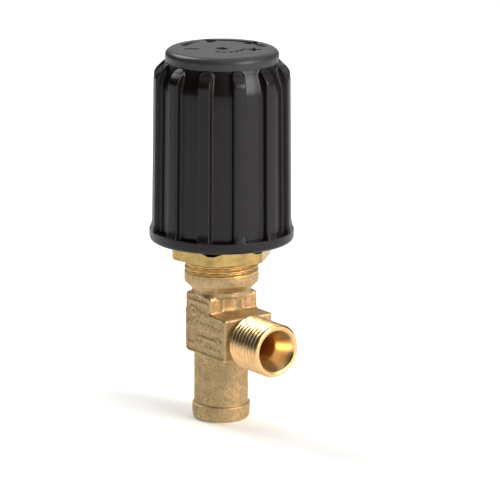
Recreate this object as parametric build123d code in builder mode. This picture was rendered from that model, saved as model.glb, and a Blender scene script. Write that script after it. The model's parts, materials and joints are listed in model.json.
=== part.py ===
"""Angle pattern needle valve with a hose tail, a coned side port and a large fluted hand knob.

Millimetres. The origin is the centre of the hose tail's end face. +Z runs up the spindle axis
and +X out of the side port. The valve is drawn shut: the needle is down on its seat.
"""

from build123d import *
from math import radians, tan
import os

os.makedirs("parts", exist_ok=True)

# ---------------------------------------------------------------- driving dimensions
fit_gap = 0.03  # between two pieces that are fixed to each other
running_gap = 0.08  # between a piece that moves and its guide
edge_break = 0.3  # chamfer on the edges of small turned pieces
thread_depth_share = 0.5413  # depth of a metric thread for each millimetre of pitch

tail_radius = 8.05
tail_length = 20.5  # from the end face to the underside of the block
bead_radius = 8.6
bead_start = 2.6  # the bead is cylindrical from here to its shoulder
bead_shoulder = 4.8
bead_end_radius = 7.2  # of the flat end face
outlet_radius = 5.0
outlet_depth = 13.5
outlet_cone_end = 14.4
throat_radius = 3.4
tail_step = 18.5  # the ledge that the seat is pressed on

block_half_width = 8.75  # across the valve, along Y
cheek_reach = 6.2  # the cheeks and the back, along X
boss_reach = 13.6  # the thick lower part that carries the port
shelf_height = 33.6
block_top = 38.9
cheek_gap_half = 4.05
valley_floor = 3.2  # how near the axis the gap between the cheeks is cut
upright_edge_radius = 0.9
foot_edge_radius = 0.8
crown_edge_radius = 0.6
shelf_edge_radius = 0.7
panel_depth = 0.35
panel_rim = 0.9

port_height = 26.1
port_thread_radius = 8.0  # M16 x 1.5
port_end = 27.6
port_face_radius = 7.55
port_relief = 1.4  # plain groove between the block and the thread
port_bore_radius = 3.2
cone_mouth_radius = 6.35
cone_half_angle = 30
thread_pitch = 1.5

core_radius = 6.4
chamber_radius = 5.1
neck_radius = 8.75
neck_top = 41.2
bonnet_step = 41.5
collar_radius = 11.0  # M22 x 1.5
collar_bottom = 42.5
collar_thread_start = 45.1
body_top = 57.0
bonnet_bore_radius = 8.5

hex_across_flats = 27.0
hex_corner_radius = 15.05
hex_bottom = 49.4
hex_shoulder = 52.5  # where the crown chamfer leaves the corners
hex_top = 53.8
nut_top = 62.0
hex_turn = 11.9  # degrees from +X to a corner of the hexagon

needle_radius = 2.75
spindle_radius = 5.0  # M10 x 1
spindle_pitch = 1.0
opening_turns = 4.5
lift = opening_turns * spindle_pitch

knob_bottom = 54.7
knob_ring_radius = 21.35
knob_ring_height = 3.2
rib_radius_low = 21.0
rib_radius_high = 20.3
rib_width = 3.3
rib_edge_radius = 0.7
rib_count = 12
rib_turn = 9.0  # degrees from +X to the first rib
groove_depth = 2.1
cap_radius = 16.7
cap_bottom = 107.2
cap_edge_radius = 1.9
knob_top = 111.8


# ---------------------------------------------------------------- shared shapes
def half_section(*corners):
    """Closed outline from (radius, height) corners, ready to be turned about the spindle axis."""
    with BuildSketch(Plane.XZ) as outline:
        with BuildLine():
            Polyline(*corners, close=True)
        make_face()
    return outline.sketch


def thread_outline(crest, start, end, pitch):
    """(radius, distance) corners of 60 degree thread ridges between two distances along an axis."""
    depth = thread_depth_share * pitch
    flank = depth * tan(radians(30))
    root_flat = pitch / 4
    crest_flat = pitch - root_flat - 2 * flank
    corners = []
    ridges = int((end - start) / pitch)
    for ridge in range(ridges):
        foot = start + ridge * pitch + root_flat / 2
        corners.append((crest - depth, foot))
        corners.append((crest, foot + flank))
        corners.append((crest, foot + flank + crest_flat))
        corners.append((crest - depth, foot + 2 * flank + crest_flat))
    return corners


def seal_ring(inner, outer, middle_height):
    """A round rubber ring that fills the gap between two radii."""
    section_radius = (outer - inner) / 2
    with BuildPart() as ring:
        with BuildSketch(Plane.XZ):
            with Locations((inner + section_radius, middle_height)):
                Circle(section_radius)
        revolve(axis=Axis.Z)
    return ring


def flat_ring(inner, outer, bottom, top):
    """A turned ring of rectangular section."""
    with BuildPart() as ring:
        with BuildSketch(Plane.XY.offset(bottom)):
            Circle(outer)
            Circle(inner, mode=Mode.SUBTRACT)
        extrude(amount=top - bottom)
    return ring


# ---------------------------------------------------------------- forged body
port_axis = Axis((0, 0, port_height), (1, 0, 0))
port_thread_start = boss_reach + port_relief
port_relief_radius = port_thread_radius - thread_depth_share * thread_pitch - 0.1
port_bevel_length = 0.45
cone_length = (cone_mouth_radius - port_bore_radius) / tan(radians(cone_half_angle))
valley_depth = cheek_reach - valley_floor + 1
collar_bevel = 0.8
overlap = 1.0  # how far one solid runs into the next before they are joined

with BuildPart() as valve_body:
    # lower block with the port boss, and the two cheeks above it
    with BuildSketch(Plane.XY.offset(tail_length)):
        with Locations(((boss_reach - cheek_reach) / 2, 0)):
            Rectangle(boss_reach + cheek_reach, 2 * block_half_width)
    extrude(amount=shelf_height - tail_length)
    with BuildSketch(Plane.XY.offset(shelf_height)):
        Rectangle(2 * cheek_reach, 2 * block_half_width)
        valley_middle = valley_floor + valley_depth / 2
        with Locations((valley_middle, 0), (-valley_middle, 0)):
            Rectangle(valley_depth, 2 * cheek_gap_half, mode=Mode.SUBTRACT)
    extrude(amount=block_top - shelf_height)
    fillet(valve_body.edges().filter_by(Axis.Z), radius=upright_edge_radius)
    fillet(valve_body.faces().sort_by(Axis.Z)[0].edges(), radius=foot_edge_radius)
    fillet(valve_body.faces().sort_by(Axis.Z)[-1].edges(), radius=crown_edge_radius)
    shelf_edges = valve_body.edges().filter_by_position(
        Axis.Z, shelf_height - 0.01, shelf_height + 0.01
    )
    outer_shelf_edges = shelf_edges.filter_by_position(Axis.X, cheek_reach + 0.5, boss_reach)
    fillet(outer_shelf_edges, radius=shelf_edge_radius)
    # round core between the cheeks, neck, flange and threaded collar
    revolve(
        half_section(
            (0, shelf_height - overlap),
            (core_radius, shelf_height - overlap),
            (core_radius, block_top - 1.2),
            (neck_radius, block_top - 0.4),
            (neck_radius, neck_top),
            (collar_radius, collar_bottom),
            (collar_radius, collar_thread_start - 0.2),
            *thread_outline(collar_radius, collar_thread_start, body_top - 0.3, thread_pitch),
            (collar_radius - collar_bevel, body_top),
            (0, body_top),
        ),
        axis=Axis.Z,
    )
    # hose tail with one bead, well rounded towards its end face
    revolve(
        half_section(
            (0, 0),
            (bead_end_radius, 0),
            (bead_end_radius + 0.65, 0.35),
            (bead_radius - 0.3, 1.0),
            (bead_radius - 0.05, 1.9),
            (bead_radius, bead_start),
            (bead_radius, bead_shoulder - 0.2),
            (bead_radius - 0.15, bead_shoulder),
            (tail_radius, bead_shoulder + 0.35),
            (tail_radius, tail_length + overlap),
            (0, tail_length + overlap),
        ),
        axis=Axis.Z,
    )
    # threaded side port
    port_thread = thread_outline(
        port_thread_radius, port_thread_start, port_end - port_bevel_length, thread_pitch
    )
    revolve(
        half_section(
            (boss_reach - overlap, port_height),
            (boss_reach - overlap, port_height + port_relief_radius),
            (port_thread_start, port_height + port_relief_radius),
            *[(along, port_height + radius) for radius, along in port_thread],
            (port_end - port_bevel_length, port_height + port_face_radius + 0.15),
            (port_end, port_height + port_face_radius),
            (port_end, port_height),
        ),
        axis=port_axis,
    )
    # bores from above and below, and the side port's bore with its 60 degree cone
    revolve(
        half_section(
            (0, 0),
            (outlet_radius, 0),
            (outlet_radius, outlet_depth),
            (throat_radius, outlet_cone_end),
            (throat_radius, tail_step),
            (chamber_radius, tail_step),
            (chamber_radius, bonnet_step),
            (bonnet_bore_radius, bonnet_step),
            (bonnet_bore_radius, body_top),
            (0, body_top),
        ),
        axis=Axis.Z,
        mode=Mode.SUBTRACT,
    )
    revolve(
        half_section(
            (0, port_height),
            (0, port_height + port_bore_radius),
            (port_end - cone_length, port_height + port_bore_radius),
            (port_end, port_height + cone_mouth_radius),
            (port_end, port_height),
        ),
        axis=port_axis,
        mode=Mode.SUBTRACT,
    )
    # sunk panel with a raised rim on each flat side
    for side in (-1, 1):
        with BuildSketch(Plane.XZ.offset(-side * block_half_width)):
            with BuildLine():
                Polyline(
                    (-cheek_reach + panel_rim, tail_length + panel_rim),
                    (boss_reach - panel_rim, tail_length + panel_rim),
                    (boss_reach - panel_rim, shelf_height - panel_rim),
                    (cheek_reach - panel_rim, shelf_height - panel_rim),
                    (cheek_reach - panel_rim, block_top - panel_rim),
                    (-cheek_reach + panel_rim, block_top - panel_rim),
                    close=True,
                )
            make_face()
        extrude(amount=side * panel_depth, mode=Mode.SUBTRACT)

# ---------------------------------------------------------------- seat
gasket_thickness = 0.8
seat_bottom = tail_step + gasket_thickness
seat_top = 22.8
seat_radius = chamber_radius - fit_gap
seat_bore_radius = 2.4
seat_lead_in = 0.85  # the 45 degree edge that the needle closes on

seat_gasket = flat_ring(throat_radius + 0.1, chamber_radius - 0.05, tail_step, seat_bottom)

with BuildPart() as seat_ring:
    revolve(
        half_section(
            (seat_bore_radius, seat_bottom),
            (seat_radius - edge_break, seat_bottom),
            (seat_radius, seat_bottom + edge_break),
            (seat_radius, seat_top - edge_break),
            (seat_radius - edge_break, seat_top),
            (seat_bore_radius + seat_lead_in, seat_top),
            (seat_bore_radius, seat_top - seat_lead_in),
        ),
        axis=Axis.Z,
    )

# ---------------------------------------------------------------- packing carrier and packing
carrier_top = 49.0
carrier_flange_top = 45.5
carrier_radius = bonnet_bore_radius - fit_gap
carrier_spigot_radius = 5.95
o_ring_groove_bottom = 42.7
o_ring_groove_top = 44.2
o_ring_groove_radius = 7.3
packing_radius = 5.0
packing_floor = 43.0
packing_squeeze = 0.02
rod_hole_radius = needle_radius + running_gap

with BuildPart() as packing_carrier:
    revolve(
        half_section(
            (rod_hole_radius, bonnet_step),
            (carrier_radius - edge_break, bonnet_step),
            (carrier_radius, bonnet_step + edge_break),
            (carrier_radius, o_ring_groove_bottom),
            (o_ring_groove_radius, o_ring_groove_bottom),
            (o_ring_groove_radius, o_ring_groove_top),
            (carrier_radius, o_ring_groove_top),
            (carrier_radius, carrier_flange_top),
            (carrier_spigot_radius, carrier_flange_top),
            (carrier_spigot_radius, carrier_top),
            (packing_radius, carrier_top),
            (packing_radius, packing_floor),
            (rod_hole_radius, packing_floor),
        ),
        axis=Axis.Z,
    )

carrier_o_ring = seal_ring(
    o_ring_groove_radius + packing_squeeze,
    bonnet_bore_radius - packing_squeeze,
    (o_ring_groove_bottom + o_ring_groove_top) / 2,
)
packing_bore = packing_radius - fit_gap
rod_seal_radius = needle_radius + 0.05
backup_thickness = 0.9
packing_ring_middle = packing_floor + 2.0
upper_backup_bottom = packing_floor + 3.1
bush_bottom = upper_backup_bottom + backup_thickness

lower_backup_ring = flat_ring(
    rod_seal_radius, packing_bore, packing_floor, packing_floor + backup_thickness
)
packing_o_ring = seal_ring(rod_seal_radius, packing_bore, packing_ring_middle)
upper_backup_ring = flat_ring(rod_seal_radius, packing_bore, upper_backup_bottom, bush_bottom)

bush_flange_radius = carrier_spigot_radius - 0.1
bush_top = carrier_top + 0.9
spanner_slot_length = 1.6
spanner_slot_width = 1.2
spanner_slot_depth = 0.6

with BuildPart() as gland_bush:
    revolve(
        half_section(
            (rod_hole_radius, bush_bottom),
            (packing_bore, bush_bottom),
            (packing_bore, carrier_top),
            (bush_flange_radius, carrier_top),
            (bush_flange_radius, bush_top),
            (rod_hole_radius, bush_top),
        ),
        axis=Axis.Z,
    )
    # two spanner slots across the flange
    with BuildSketch(Plane.XY.offset(bush_top)):
        with PolarLocations(bush_flange_radius - spanner_slot_length / 2 + 0.2, 2):
            Rectangle(spanner_slot_length, spanner_slot_width)
    extrude(amount=-spanner_slot_depth, mode=Mode.SUBTRACT)

# ---------------------------------------------------------------- bonnet
bonnet_radius = bonnet_bore_radius - fit_gap
bonnet_flange_radius = 10.0
bonnet_flange_top = 59.0
bonnet_neck_radius = 8.0
bonnet_top = 72.0
bonnet_bevel = 0.6
cavity_radius = 6.0
cavity_top = 61.2
wiper_seat = 70.0
wiper_radius = 6.6

with BuildPart() as bonnet:
    revolve(
        half_section(
            (cavity_radius, carrier_flange_top),
            (bonnet_radius, carrier_flange_top),
            (bonnet_radius, body_top),
            (bonnet_flange_radius, body_top),
            (bonnet_flange_radius, bonnet_flange_top),
            (bonnet_neck_radius, bonnet_flange_top),
            (bonnet_neck_radius, bonnet_top - bonnet_bevel),
            (bonnet_neck_radius - bonnet_bevel, bonnet_top),
            (wiper_radius, bonnet_top),
            (wiper_radius, wiper_seat),
            (spindle_radius + running_gap, wiper_seat),
            (spindle_radius + running_gap, cavity_top),
            (cavity_radius, cavity_top),
        ),
        axis=Axis.Z,
    )

stem_wiper = flat_ring(
    spindle_radius + running_gap, wiper_radius - fit_gap, wiper_seat + 0.05, bonnet_top - 0.2
)

# ---------------------------------------------------------------- hexagon bonnet nut
# a low hexagon with a round skirt above it that reaches up inside the knob
nut_bore_radius = collar_radius + 0.06
nut_lip_bottom = bonnet_flange_top + 0.03
nut_lip_radius = bonnet_neck_radius + 0.1
hex_flat_radius = hex_across_flats / 2
foot_chamfer_height = 0.7
skirt_radius = 13.1
skirt_bevel = 0.8

with BuildPart() as bonnet_nut:
    with BuildSketch(Plane.XY.offset(hex_bottom)):
        RegularPolygon(hex_flat_radius, 6, major_radius=False, rotation=hex_turn)
    extrude(amount=nut_top - hex_bottom)
    # corners turned off, a chamfer at both ends of the hexagon, and the round skirt
    revolve(
        half_section(
            (0, hex_bottom),
            (hex_flat_radius - 0.3, hex_bottom),
            (hex_corner_radius, hex_bottom + foot_chamfer_height),
            (hex_corner_radius, hex_shoulder),
            (skirt_radius, hex_top),
            (skirt_radius, nut_top - skirt_bevel),
            (skirt_radius - skirt_bevel, nut_top),
            (0, nut_top),
        ),
        axis=Axis.Z,
        mode=Mode.INTERSECT,
    )
    # bore over the collar, with a lip over the bonnet's flange
    revolve(
        half_section(
            (0, hex_bottom),
            (nut_bore_radius, hex_bottom),
            (nut_bore_radius, nut_lip_bottom),
            (nut_lip_radius, nut_lip_bottom),
            (nut_lip_radius, nut_top),
            (0, nut_top),
        ),
        axis=Axis.Z,
        mode=Mode.SUBTRACT,
    )

# ---------------------------------------------------------------- needle and its ball
needle_tip = 14.6
needle_tip_radius = 0.5
needle_cone_start = 21.95
needle_cone_radius = 2.3
rod_top = 52.7
head_radius = 3.5
head_top = 55.2
ball_radius = 1.5
ball_play = 0.05
ball_sink = 0.8
ball_height = head_top - ball_sink + ball_radius + ball_play

with BuildPart() as needle:
    revolve(
        half_section(
            (0, needle_tip),
            (needle_tip_radius, needle_tip),
            (needle_cone_radius, needle_cone_start),
            (needle_radius, needle_cone_start + needle_radius - needle_cone_radius),
            (needle_radius, rod_top),
            (head_radius, rod_top),
            (head_radius, head_top - edge_break),
            (head_radius - edge_break, head_top),
            (0, head_top),
        ),
        axis=Axis.Z,
    )
    with Locations((0, 0, ball_height)):
        Sphere(ball_radius + ball_play, mode=Mode.SUBTRACT)

with BuildPart() as thrust_ball:
    with Locations((0, 0, ball_height)):
        Sphere(ball_radius)

# ---------------------------------------------------------------- threaded spindle
stem_bottom = 50.3
stem_head_radius = cavity_radius - running_gap
stem_head_top = cavity_top - 0.1 - lift
stem_relief_radius = 4.4  # below the thread and under the square
socket_radius = 3.6
socket_top = ball_height + ball_radius + ball_play
clip_bottom = 51.4
clip_top = 52.4
clip_play = 0.05
clip_groove_radius = 4.2
clip_mouth = 1.6
thread_end = 73.7
shank_start = 74.0
square_start = 77.0
square_top = 89.2
square_width = 8.0
screw_radius = 2.5
screw_hole_depth = 12.0

with BuildPart() as stem:
    revolve(
        half_section(
            (0, stem_bottom),
            (stem_head_radius, stem_bottom),
            (stem_head_radius, stem_head_top),
            (stem_relief_radius, stem_head_top),
            *thread_outline(spindle_radius, stem_head_top + 0.6, thread_end, spindle_pitch),
            (stem_relief_radius, shank_start),
            (stem_relief_radius, square_start),
            (spindle_radius, square_start),
            (spindle_radius, square_top),
            (0, square_top),
        ),
        axis=Axis.Z,
    )
    # socket for the needle's head, with a groove for the clip
    revolve(
        half_section(
            (0, stem_bottom),
            (socket_radius, stem_bottom),
            (socket_radius, clip_bottom - clip_play),
            (clip_groove_radius, clip_bottom - clip_play),
            (clip_groove_radius, clip_top + clip_play),
            (socket_radius, clip_top + clip_play),
            (socket_radius, socket_top),
            (0, socket_top),
        ),
        axis=Axis.Z,
        mode=Mode.SUBTRACT,
    )
    # square drive for the knob, and the tapped hole above it
    with BuildSketch(Plane.XY.offset(square_start)):
        Circle(2 * spindle_radius)
        Rectangle(square_width, square_width, mode=Mode.SUBTRACT)
    extrude(amount=square_top - square_start, mode=Mode.SUBTRACT)
    with Locations((0, 0, square_top)):
        Hole(screw_radius + 0.02, depth=screw_hole_depth)

with BuildPart() as swivel_clip:
    with BuildSketch(Plane.XY.offset(clip_bottom)):
        Circle(clip_groove_radius - clip_play)
        Circle(needle_radius + 0.2, mode=Mode.SUBTRACT)
        with Locations((clip_groove_radius, 0)):
            Rectangle(clip_groove_radius, clip_mouth, mode=Mode.SUBTRACT)
    extrude(amount=clip_top - clip_bottom)

# ---------------------------------------------------------------- knob
hub_radius = 8.0
hub_top = 89.5
hub_groove_depth = 1.0
hub_groove_bottom = 82.0
hub_groove_top = 84.5
hub_groove_slope = 0.5
boss_radius = 10.5
boss_bottom = 76.0
boss_hole_radius = 6.2
web_bottom = 86.0
web_width = 2.0
web_count = 6
radial_web_bottom = 79.0
recess_radius = 12.5
cavity_mouth_radius = 17.4
cavity_wall_radius = 16.9
cavity_wall_radius_high = 16.3
cavity_lead_in = 4.0
pocket_shoulder = 104.0
rib_shoulder = 104.6
square_clearance = 0.06

# outside of the brass hub, with the groove that keys it into the moulded knob
hub_outline = [
    (hub_radius, square_start),
    (hub_radius, hub_groove_bottom - hub_groove_slope),
    (hub_radius - hub_groove_depth, hub_groove_bottom),
    (hub_radius - hub_groove_depth, hub_groove_top),
    (hub_radius, hub_groove_top + hub_groove_slope),
    (hub_radius, hub_top),
    (0, hub_top),
]

with BuildPart() as knob_hub:
    revolve(half_section((0, square_start), *hub_outline), axis=Axis.Z)
    with BuildSketch(Plane.XY.offset(square_start)):
        Rectangle(square_width + 2 * square_clearance, square_width + 2 * square_clearance)
    extrude(amount=hub_top - square_start, mode=Mode.SUBTRACT)

# one grip rib on the +X side, with a sloping top end and rounded outer edges
rib_root_radius = cap_radius - 3

with BuildPart() as grip_rib:
    with BuildSketch(Plane.XZ):
        with BuildLine():
            Polyline(
                (rib_root_radius, knob_bottom + overlap),
                (rib_radius_low - 0.1, knob_bottom + overlap),
                (rib_radius_low, knob_bottom + knob_ring_height),
                (rib_radius_high, rib_shoulder),
                (rib_radius_high - 0.6, rib_shoulder + 1.1),
                (cap_radius + 0.3, cap_bottom + 0.9),
                (cap_radius + 0.05, cap_bottom),
                (rib_root_radius, cap_bottom),
                close=True,
            )
        make_face()
    extrude(amount=rib_width / 2, both=True)
    long_edges = grip_rib.edges().filter_by(Axis.Y, reverse=True)
    outer_edges = long_edges.filter_by_position(Axis.X, cap_radius + 0.5, rib_radius_low)
    fillet(outer_edges, radius=rib_edge_radius)

with BuildPart() as knob_shell:
    # plain turned shape between the ribs, with the heavier ring at the foot
    ring_top = knob_bottom + knob_ring_height
    revolve(
        half_section(
            (0, knob_bottom),
            (knob_ring_radius - 1.2, knob_bottom),
            (knob_ring_radius - 0.35, knob_bottom + 0.35),
            (knob_ring_radius, knob_bottom + 1.2),
            (knob_ring_radius, ring_top - 0.5),
            (rib_radius_low - 0.2, ring_top),
            (rib_radius_low - groove_depth, ring_top),
            (rib_radius_high - groove_depth, pocket_shoulder),
            (cap_radius + 0.9, pocket_shoulder + 2.0),
            (cap_radius + 0.2, cap_bottom),
            (0, cap_bottom),
        ),
        axis=Axis.Z,
    )
    for rib in range(rib_count):
        add(grip_rib.part.rotate(Axis.Z, rib_turn + rib * 360 / rib_count))
    # hollow underside
    revolve(
        half_section(
            (0, knob_bottom),
            (cavity_mouth_radius, knob_bottom),
            (cavity_wall_radius, knob_bottom + cavity_lead_in),
            (cavity_wall_radius_high, web_bottom),
            (0, web_bottom),
        ),
        axis=Axis.Z,
        mode=Mode.SUBTRACT,
    )
    # boss round the hub, tied to the wall by webs
    with BuildSketch(Plane.XY.offset(boss_bottom)):
        Circle(boss_radius)
    extrude(amount=web_bottom - boss_bottom + overlap / 2)
    with BuildSketch(Plane.XY.offset(radial_web_bottom)):
        web_middle = (boss_radius + cavity_wall_radius) / 2
        web_length = cavity_wall_radius - boss_radius + 1.5 * overlap
        with PolarLocations(web_middle, web_count, start_angle=rib_turn):
            Rectangle(web_length, web_width)
    extrude(amount=web_bottom - radial_web_bottom + overlap / 2)
    # recess above the web for the screw, and the seat of the hub
    with BuildSketch(Plane.XY.offset(hub_top)):
        Circle(recess_radius)
    extrude(amount=cap_bottom - hub_top, mode=Mode.SUBTRACT)
    revolve(
        half_section(
            (0, boss_bottom),
            (boss_hole_radius, boss_bottom),
            (boss_hole_radius, square_start),
            *hub_outline,
        ),
        axis=Axis.Z,
        mode=Mode.SUBTRACT,
    )

cap_skirt_radius = recess_radius - fit_gap
cap_skirt_inside = 10.5
cap_skirt_bottom = cap_bottom - 4.0
cap_roof = cap_bottom + 1.5
cap_dimple_radius = 1.7
cap_dimple_depth = 1.6

with BuildPart() as knob_cap:
    with BuildSketch(Plane.XZ):
        with BuildLine():
            Polyline(
                (cap_radius - cap_edge_radius, knob_top),
                (0, knob_top),
                (0, cap_roof),
                (cap_skirt_inside, cap_roof),
                (cap_skirt_inside, cap_skirt_bottom),
                (cap_skirt_radius, cap_skirt_bottom),
                (cap_skirt_radius, cap_bottom),
                (cap_radius, cap_bottom),
                (cap_radius, knob_top - cap_edge_radius),
            )
            RadiusArc(
                (cap_radius, knob_top - cap_edge_radius),
                (cap_radius - cap_edge_radius, knob_top),
                -cap_edge_radius,
            )
        make_face()
    revolve(axis=Axis.Z)
    with Locations((0, 0, knob_top)):
        Hole(cap_dimple_radius, depth=cap_dimple_depth)

# ---------------------------------------------------------------- knob fastening
washer_radius = 7.0
washer_top = hub_top + 1.2
spring_radius = 4.4
spring_top = washer_top + 1.2
spring_gap = 0.7
screw_head_radius = 4.25
screw_head_height = 5.0
screw_length = 12.0
screw_point_chamfer = 0.5
key_flat_radius = 2.0
key_depth = 2.5

flat_washer = flat_ring(screw_radius + 0.2, washer_radius, hub_top, washer_top)

with BuildPart() as spring_washer:
    with BuildSketch(Plane.XY.offset(washer_top)):
        Circle(spring_radius)
        Circle(screw_radius + 0.15, mode=Mode.SUBTRACT)
        with Locations(((screw_radius + spring_radius) / 2, 0)):
            Rectangle(spring_radius, spring_gap, rotation=20, mode=Mode.SUBTRACT)
    extrude(amount=spring_top - washer_top)

with BuildPart() as knob_screw:
    with BuildSketch(Plane.XY.offset(spring_top)):
        Circle(screw_head_radius)
    extrude(amount=screw_head_height)
    fillet(knob_screw.faces().sort_by(Axis.Z)[-1].edges(), radius=edge_break)
    with BuildSketch(Plane.XY.offset(spring_top)):
        Circle(screw_radius)
    extrude(amount=-screw_length)
    chamfer(knob_screw.faces().sort_by(Axis.Z)[0].edges(), length=screw_point_chamfer)
    with BuildSketch(Plane.XY.offset(spring_top + screw_head_height)):
        RegularPolygon(key_flat_radius, 6, major_radius=False)
    extrude(amount=-key_depth, mode=Mode.SUBTRACT)

# ---------------------------------------------------------------- hand over
pieces = {
    "valve_body": valve_body,
    "seat_gasket": seat_gasket,
    "seat_ring": seat_ring,
    "packing_carrier": packing_carrier,
    "carrier_o_ring": carrier_o_ring,
    "lower_backup_ring": lower_backup_ring,
    "packing_o_ring": packing_o_ring,
    "upper_backup_ring": upper_backup_ring,
    "gland_bush": gland_bush,
    "bonnet": bonnet,
    "stem_wiper": stem_wiper,
    "bonnet_nut": bonnet_nut,
    "needle": needle,
    "thrust_ball": thrust_ball,
    "stem": stem,
    "swivel_clip": swivel_clip,
    "knob_hub": knob_hub,
    "knob_shell": knob_shell,
    "knob_cap": knob_cap,
    "flat_washer": flat_washer,
    "spring_washer": spring_washer,
    "knob_screw": knob_screw,
}
for label, piece in pieces.items():
    piece.part.label = label
    export_step(piece.part, f"parts/{label}.step")
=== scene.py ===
"""Looks of the angle needle valve: forged and turned brass, bright hexagon nut, tall fluted black knob.

Shapes are worked out in millimetres in the frame's own axes and turned into metres where the mesh is made.
"""

import math

import bpy
import numpy as np
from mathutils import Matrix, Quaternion, Vector
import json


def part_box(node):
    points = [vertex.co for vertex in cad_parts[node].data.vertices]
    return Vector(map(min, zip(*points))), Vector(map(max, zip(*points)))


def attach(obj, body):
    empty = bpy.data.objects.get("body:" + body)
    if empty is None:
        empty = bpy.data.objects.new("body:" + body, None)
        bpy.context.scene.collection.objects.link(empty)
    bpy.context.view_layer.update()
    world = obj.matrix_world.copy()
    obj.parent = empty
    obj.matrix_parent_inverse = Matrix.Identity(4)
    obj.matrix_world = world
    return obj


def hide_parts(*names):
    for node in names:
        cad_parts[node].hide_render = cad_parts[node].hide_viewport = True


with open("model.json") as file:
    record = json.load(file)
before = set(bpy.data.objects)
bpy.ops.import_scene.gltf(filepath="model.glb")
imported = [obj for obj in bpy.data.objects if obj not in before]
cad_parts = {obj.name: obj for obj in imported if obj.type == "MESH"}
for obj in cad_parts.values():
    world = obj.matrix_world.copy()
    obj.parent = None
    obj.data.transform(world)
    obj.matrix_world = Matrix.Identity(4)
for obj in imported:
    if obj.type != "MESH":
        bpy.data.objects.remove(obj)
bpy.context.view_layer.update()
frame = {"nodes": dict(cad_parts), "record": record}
MM = 0.001


def box_mm(node):
    """Low and high corner of a CAD node's box, in millimetres."""
    low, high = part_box(node)
    return np.array(low) / MM, np.array(high) / MM


# ------------------------------------------------------------------ sizes taken from the frame
body_high = box_mm("valve_body")[1]
nut_low, nut_high = box_mm("bonnet_nut")
shell_low, shell_high = box_mm("knob_shell")
cap_high = box_mm("knob_cap")[1]
hub_low, hub_high = box_mm("knob_hub")
mounts = {mount["name"]: mount for mount in frame["record"]["mounts"]}
PORT_Z = mounts["side_port"]["pos_m"][2] / MM
PORT_R = mounts["side_port"]["dims"]["r_mm"]
BEAD_R = mounts["hose_tail"]["dims"]["r_mm"]
OUTLET_R = mounts["outlet_bore"]["dims"]["r_mm"]
OUTLET_DEPTH = mounts["outlet_bore"]["dims"]["length_mm"]
PORT_END = body_high[0]
BODY_TOP = body_high[2]
COLLAR_R = body_high[1]
KNOB_BOTTOM = shell_low[2]
KNOB_R = shell_high[0] - 0.01  # a hair inside the CAD's knob
KNOB_TOP = cap_high[2]
CAP_R = cap_high[0]

# ------------------------------------------------------------------ sizes of the forging
TAIL_R = 8.05
TAIL_TOP = 20.5
BEAD_TOP = 4.8
BLOCK_HALF_Y = 8.75
BLOCK_BACK = -6.2
CHEEK_X = 6.2
BOSS_X = 13.6
SHELF_Z = 33.6
BLOCK_TOP = 38.9
VALLEY_HALF_Y = 4.05
CORE_R = 6.4
CHAMBER_R = 5.1
NECK_R = 8.75
NECK_TOP = 39.9
FLANGE_BOTTOM = 42.1
THREAD_START = 45.1
BONNET_BORE_R = 8.5
BONNET_STEP = 41.5
THROAT_R = 3.4
PORT_BORE_R = 3.2
CONE_MOUTH_R = 6.35
PITCH = 1.5
THREAD_DEPTH = 0.5413 * PITCH
THREAD_CREST = 0.20  # flat share of a pitch on the crest
THREAD_ROOT = 0.14  # and at the root
THREAD_ROWS = 0.09  # distance between rings of points along a thread


# ------------------------------------------------------------------ mesh building
class Shape:
    """Points and faces gathered from several closed shells, each face with a material number."""

    def __init__(self):
        self.points = []
        self.faces = []
        self.slots = []
        self.count = 0

    def add(self, points, faces, slot=0):
        """Adds a shell. slot is one material number, or one for each face."""
        points = np.asarray(points, dtype=float).reshape(-1, 3)
        faces = np.asarray(faces) + self.count
        self.points.append(points)
        self.faces.extend(faces.tolist())
        self.slots.extend(np.broadcast_to(slot, len(faces)).tolist())
        self.count += len(points)

    def make(self, name, materials, sharp_deg):
        """The mesh object, smooth except at edges sharper than sharp_deg."""
        mesh = bpy.data.meshes.new(name)
        mesh.from_pydata((np.concatenate(self.points) * MM).tolist(), [], self.faces)
        mesh.validate()
        for material in materials:
            mesh.materials.append(material)
        mesh.polygons.foreach_set("material_index", np.asarray(self.slots, dtype=np.int32))
        mesh.polygons.foreach_set("use_smooth", np.ones(len(mesh.polygons), dtype=bool))
        mesh.set_sharp_from_angle(angle=math.radians(sharp_deg))
        mesh.update()
        piece = bpy.data.objects.new(name, mesh)
        bpy.context.scene.collection.objects.link(piece)
        return piece


def ring_faces(rings, columns):
    """Quads between successive rings of points, each ring closed and the last joined to the first."""
    row, place = np.meshgrid(np.arange(rings), np.arange(columns), indexing="ij")
    after = (row + 1) % rings
    beside = (place + 1) % columns
    corners = [(row, place), (row, beside), (after, beside), (after, place)]
    quads = np.stack([ring * columns + at for ring, at in corners], axis=-1)
    return quads.reshape(-1, 4)


def turned_shell(angles, *blocks, along="Z", base=0.0):
    """Points and faces of a closed turned shell, built ring by ring; the last ring joins the first.

    A block of rings is a list of outline points (radius, distance along the axis), or a tuple of two
    arrays, radii and distances, with a row for each ring. Along X, the axis runs at height base.
    """
    pairs = [block if isinstance(block, tuple) else np.transpose(block)[:, :, None] for block in blocks]
    radius, distance = [
        np.vstack([np.broadcast_to(rows, (len(rows), len(angles))) for rows in arrays])
        for arrays in zip(*pairs)
    ]
    across, up = radius * np.cos(angles), radius * np.sin(angles)
    if along == "Z":
        points = np.stack([across, up, distance], axis=-1)
    else:
        points = np.stack([distance, across, base + up], axis=-1)
    return points.reshape(-1, 3), ring_faces(len(radius), len(angles))


def column(values):
    """The values as a column, to be spread along rows of angles."""
    return np.asarray(values, dtype=float)[:, None]


def evenly(start, end, step):
    """Distances from start to end, both included, about one step apart."""
    return np.linspace(start, end, max(2, int(round(abs(end - start) / step)) + 1))


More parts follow.
